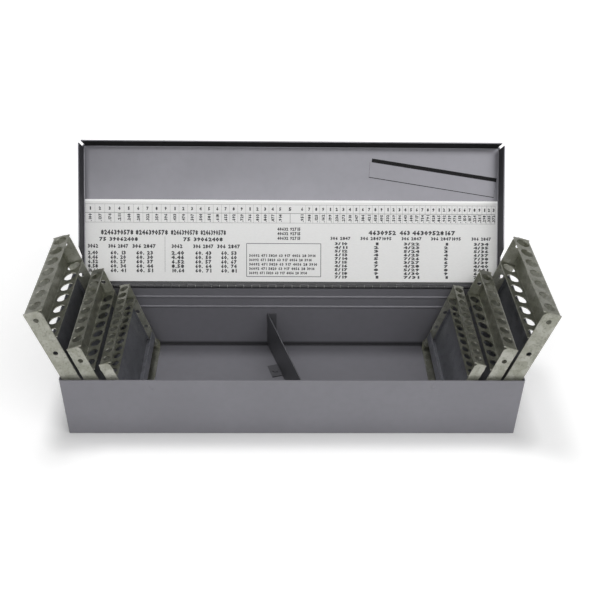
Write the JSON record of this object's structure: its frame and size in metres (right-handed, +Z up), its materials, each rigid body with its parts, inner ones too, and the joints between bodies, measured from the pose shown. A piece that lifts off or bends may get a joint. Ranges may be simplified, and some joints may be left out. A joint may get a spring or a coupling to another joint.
{
  "type": "drill bit index case",
  "caption": "Hinged sheet-steel drill index case with stepped perforated racks that fold down into the box, a slanted divider and a chart card in the lid.",
  "frame": {"origin": "middle of the case's underside", "axes": "+X to the right along the case, +Y to the hinge at the back, +Z up"},
  "size_m": [0.3946, 0.1945, 0.171],
  "materials": {
    "case_paint": "semi-gloss grey paint",
    "divider_paint": "dark grey paint",
    "zinc": "mottled galvanised zinc",
    "rivet_steel": "plain steel",
    "card": "printed card"
  },
  "bodies": {
    "case": {"tray": "case_paint", "divider": "divider_paint", "divider_rivets": "rivet_steel", "hinge_base_leaf": "case_paint", "hinge_pin": "rivet_steel", "left_pivot_bracket": "zinc", "right_pivot_bracket": "zinc", "left_pivot_rivets": "rivet_steel", "right_pivot_rivets": "rivet_steel"},
    "lid": {"lid_shell": "case_paint", "hinge_lid_leaf": "case_paint", "chart_card": "card"},
    "left_outer_rack": {"left_outer_channel": "zinc", "left_outer_front_plate": "zinc", "left_outer_rear_plate": "zinc", "left_outer_stop": "zinc", "left_outer_link_pins": "rivet_steel"},
    "left_middle_rack": {"left_middle_channel": "zinc", "left_middle_front_plate": "zinc", "left_middle_rear_plate": "zinc", "left_middle_stop": "zinc", "left_middle_link_pins": "rivet_steel"},
    "left_inner_rack": {"left_inner_channel": "zinc", "left_inner_front_plate": "zinc", "left_inner_rear_plate": "zinc", "left_inner_stop": "zinc", "left_inner_link_pins": "rivet_steel"},
    "left_links": {"left_front_link": "zinc", "left_rear_link": "zinc"},
    "right_outer_rack": {"right_outer_channel": "zinc", "right_outer_front_plate": "zinc", "right_outer_rear_plate": "zinc", "right_outer_stop": "zinc", "right_outer_link_pins": "rivet_steel"},
    "right_middle_rack": {"right_middle_channel": "zinc", "right_middle_front_plate": "zinc", "right_middle_rear_plate": "zinc", "right_middle_stop": "zinc", "right_middle_link_pins": "rivet_steel"},
    "right_inner_rack": {"right_inner_channel": "zinc", "right_inner_front_plate": "zinc", "right_inner_rear_plate": "zinc", "right_inner_stop": "zinc", "right_inner_link_pins": "rivet_steel"},
    "right_links": {"right_front_link": "zinc", "right_rear_link": "zinc"}
  },
  "joints": [
    {"name": "lid_hinge", "type": "hinge", "parent": "case", "child": "lid", "pos_m": [0, 0.06005, 0.0632], "axis": [1, 0, 0], "range_deg": [0, 19]},
    {"name": "left_outer_fold", "type": "hinge", "parent": "case", "child": "left_outer_rack", "pos_m": [-0.15969, 0, 0.0297], "axis": [0, 1, 0], "range_deg": [0, 107.5]},
    {"name": "left_middle_fold", "type": "hinge", "parent": "case", "child": "left_middle_rack", "pos_m": [-0.14194, 0, 0.0173], "axis": [0, 1, 0], "range_deg": [0, 107.5]},
    {"name": "left_inner_fold", "type": "hinge", "parent": "case", "child": "left_inner_rack", "pos_m": [-0.12336, 0, 0.0069], "axis": [0, 1, 0], "range_deg": [0, 107.5]},
    {"name": "left_link_pivot", "type": "hinge", "parent": "left_outer_rack", "child": "left_links", "pos_m": [-0.16571, 0, 0.04877], "axis": [0, 1, 0], "range_deg": [-107.5, 0]},
    {"name": "right_outer_fold", "type": "hinge", "parent": "case", "child": "right_outer_rack", "pos_m": [0.15969, 0, 0.0297], "axis": [0, -1, 0], "range_deg": [0, 107.5]},
    {"name": "right_middle_fold", "type": "hinge", "parent": "case", "child": "right_middle_rack", "pos_m": [0.14194, 0, 0.0173], "axis": [0, -1, 0], "range_deg": [0, 107.5]},
    {"name": "right_inner_fold", "type": "hinge", "parent": "case", "child": "right_inner_rack", "pos_m": [0.12336, 0, 0.0069], "axis": [0, -1, 0], "range_deg": [0, 107.5]},
    {"name": "right_link_pivot", "type": "hinge", "parent": "right_outer_rack", "child": "right_links", "pos_m": [0.16571, 0, 0.04877], "axis": [0, -1, 0], "range_deg": [-107.5, 0]}
  ],
  "couplings": [
    {"joint": "left_middle_fold", "follows": "left_outer_fold", "ratio": 1},
    {"joint": "left_inner_fold", "follows": "left_outer_fold", "ratio": 1},
    {"joint": "left_link_pivot", "follows": "left_outer_fold", "ratio": -1},
    {"joint": "right_middle_fold", "follows": "right_outer_fold", "ratio": 1},
    {"joint": "right_inner_fold", "follows": "right_outer_fold", "ratio": 1},
    {"joint": "right_link_pivot", "follows": "right_outer_fold", "ratio": -1}
  ]
}
